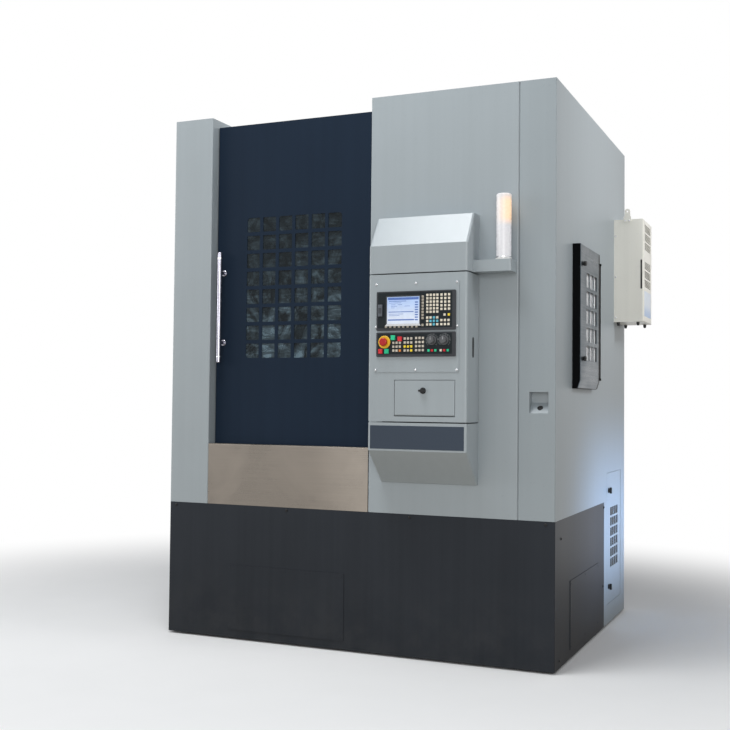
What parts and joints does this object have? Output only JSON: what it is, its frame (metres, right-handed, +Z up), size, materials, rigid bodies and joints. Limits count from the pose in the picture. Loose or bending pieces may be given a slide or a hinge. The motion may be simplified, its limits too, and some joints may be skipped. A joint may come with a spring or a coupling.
{
  "type": "vertical turning lathe",
  "caption": "Fully enclosed vertical turning lathe: sliding windowed door over the chuck chamber, swing-out control console, tower light, filter box and cooling unit.",
  "frame": {"origin": "on the floor, in the middle of the four anchor bolts", "axes": "+Z up, +X to the operator's right, -Y towards the operator"},
  "size_m": [2.38, 2.044, 2.9],
  "materials": {
    "grey_paint": "satin grey machine paint",
    "charcoal_paint": "satin charcoal paint",
    "navy_paint": "satin dark blue paint",
    "stainless": "brushed stainless sheet",
    "casting": "painted and machined casting",
    "machined_steel": "turned and ground",
    "motor_paint": "black motor paint",
    "belt_rubber": "matt",
    "window_glass": "clear laminated pane",
    "lamp_plastic": "frosted white",
    "lamp_base_plastic": "white",
    "panel_plastic": "fine grain charcoal",
    "red_plastic": "gloss red",
    "black_plastic": "fine grain black",
    "filter_mat": "black frame and mat",
    "cooler_paint": "ivory grey powder coat",
    "cooler_plastic": "ivory grey moulding"
  },
  "bodies": {
    "frame": {"levelling_pads": "casting", "bed_casting": "casting", "column_casting": "casting", "x_servo_motor": "motor_paint", "spindle_motor": "motor_paint", "drive_belt": "belt_rubber", "chip_tray": "stainless", "chamber_wall": "stainless", "front_skirt": "charcoal_paint", "left_skirt": "charcoal_paint", "right_skirt": "charcoal_paint", "skirt_covers": "charcoal_paint", "left_pillar": "grey_paint", "left_wall": "grey_paint", "rear_wall": "grey_paint", "roof_panel": "grey_paint", "apron": "stainless", "cabinet_front": "grey_paint", "cabinet_side": "grey_paint", "holder_cup": "grey_paint", "service_frame": "grey_paint", "door_rails": "machined_steel", "hood": "grey_paint", "chin": "grey_paint", "lamp_bracket": "grey_paint", "lamp_base": "lamp_base_plastic", "lamp_tube": "lamp_plastic", "cooler_case": "cooler_paint", "cooler_grille": "cooler_plastic", "filter_frame": "filter_mat"},
    "door": {"door_panel": "navy_paint", "door_window": "window_glass", "door_handle": "stainless", "door_hangers": "machined_steel"},
    "console": {"console_box": "grey_paint", "console_plate": "grey_paint", "display_unit": "panel_plastic", "machine_panel": "panel_plastic"},
    "flap": {"flap_door": "grey_paint"},
    "flap_latch": {"flap_latch": "black_plastic"},
    "stop_button": {"stop_button": "red_plastic"},
    "feed_knob": {"feed_knob": "black_plastic"},
    "speed_knob": {"speed_knob": "black_plastic"},
    "spindle": {"spindle_shaft": "machined_steel", "chuck_body": "machined_steel"},
    "jaw_1": {"jaw_1": "machined_steel"},
    "jaw_2": {"jaw_2": "machined_steel"},
    "jaw_3": {"jaw_3": "machined_steel"},
    "motor_pulley": {"motor_pulley": "machined_steel"},
    "saddle": {"saddle": "casting", "z_servo_motor": "motor_paint"},
    "x_screw": {"x_screw": "machined_steel"},
    "z_screw": {"z_screw": "machined_steel"},
    "ram": {"ram": "casting"},
    "turret": {"turret_disc": "machined_steel", "tool_set": "machined_steel"},
    "service_door": {"service_door": "grey_paint"},
    "upper_lock": {"upper_lock": "black_plastic"},
    "lower_lock": {"lower_lock": "black_plastic"},
    "filter_cover": {"filter_cover": "stainless"}
  },
  "joints": [
    {"name": "door_slide", "type": "slide", "parent": "frame", "child": "door", "axis": [1, 0, 0], "range_m": [0, 0.9]},
    {"name": "console_swing", "type": "hinge", "parent": "frame", "child": "console", "pos_m": [0.579, -0.924, 1.5745], "axis": [0, 0, -1], "range_deg": [0, 90]},
    {"name": "flap_swing", "type": "hinge", "parent": "console", "child": "flap", "pos_m": [0.861, -1.075, 1.245], "axis": [1, 0, 0], "range_deg": [0, 90]},
    {"name": "flap_latch_turn", "type": "hinge", "parent": "flap", "child": "flap_latch", "pos_m": [0.854, -1.084, 1.361], "axis": [0, 1, 0], "range_deg": [0, 90]},
    {"name": "stop_press", "type": "slide", "parent": "console", "child": "stop_button", "axis": [0, 1, 0], "range_m": [0, 0.005], "stiffness_N_per_m": 2000},
    {"name": "feed_knob_turn", "type": "hinge", "parent": "console", "child": "feed_knob", "pos_m": [0.90307, -1.095, 1.60886], "axis": [0, 1, 0], "range_deg": [-120, 120]},
    {"name": "speed_knob_turn", "type": "hinge", "parent": "console", "child": "speed_knob", "pos_m": [0.96645, -1.095, 1.60886], "axis": [0, 1, 0], "range_deg": [-120, 120]},
    {"name": "spindle_spin", "type": "hinge", "parent": "frame", "child": "spindle", "pos_m": [0, -0.28, 0.8], "axis": [0, 0, 1], "continuous": true},
    {"name": "jaw_1_slide", "type": "slide", "parent": "spindle", "child": "jaw_1", "axis": [0, 1, 0], "range_m": [-0.012, 0.012]},
    {"name": "jaw_2_slide", "type": "slide", "parent": "spindle", "child": "jaw_2", "axis": [-0.866, -0.5, 0], "range_m": [-0.012, 0.012]},
    {"name": "jaw_3_slide", "type": "slide", "parent": "spindle", "child": "jaw_3", "axis": [0.866, -0.5, 0], "range_m": [-0.012, 0.012]},
    {"name": "motor_spin", "type": "hinge", "parent": "frame", "child": "motor_pulley", "pos_m": [0.93, -0.28, 0.18], "axis": [0, 0, 1], "continuous": true},
    {"name": "saddle_slide", "type": "slide", "parent": "frame", "child": "saddle", "axis": [1, 0, 0], "range_m": [-0.39, 0]},
    {"name": "x_screw_spin", "type": "hinge", "parent": "frame", "child": "x_screw", "pos_m": [0.17, 0.162, 1.95], "axis": [1, 0, 0], "continuous": true},
    {"name": "ram_slide", "type": "slide", "parent": "saddle", "child": "ram", "axis": [0, 0, 1], "range_m": [-0.62, 0]},
    {"name": "z_screw_spin", "type": "hinge", "parent": "saddle", "child": "z_screw", "pos_m": [0.37, 0.012, 1.955], "axis": [0, 0, 1], "continuous": true},
    {"name": "turret_index", "type": "hinge", "parent": "ram", "child": "turret", "pos_m": [0.37, -0.28, 1.99], "axis": [0, 1, 0], "continuous": true},
    {"name": "service_door_swing", "type": "hinge", "parent": "frame", "child": "service_door", "pos_m": [1.46, 0.782, 0.511], "axis": [0, 0, 1], "range_deg": [0, 90]},
    {"name": "upper_lock_turn", "type": "hinge", "parent": "service_door", "child": "upper_lock", "pos_m": [1.47, 0.415, 0.793], "axis": [1, 0, 0], "range_deg": [0, 90]},
    {"name": "lower_lock_turn", "type": "hinge", "parent": "service_door", "child": "lower_lock", "pos_m": [1.47, 0.415, 0.226], "axis": [1, 0, 0], "range_deg": [0, 90]},
    {"name": "filter_cover_swing", "type": "hinge", "parent": "frame", "child": "filter_cover", "pos_m": [1.5118, -0.057, 1.758], "axis": [0, 0, 1], "range_deg": [0, 110]}
  ],
  "couplings": [
    {"joint": "jaw_2_slide", "follows": "jaw_1_slide", "ratio": 1},
    {"joint": "jaw_3_slide", "follows": "jaw_1_slide", "ratio": 1},
    {"joint": "motor_spin", "follows": "spindle_spin", "ratio": 1.9091},
    {"joint": "x_screw_spin", "follows": "saddle_slide", "rad_per_m": -314.16},
    {"joint": "z_screw_spin", "follows": "ram_slide", "rad_per_m": -314.16}
  ]
}
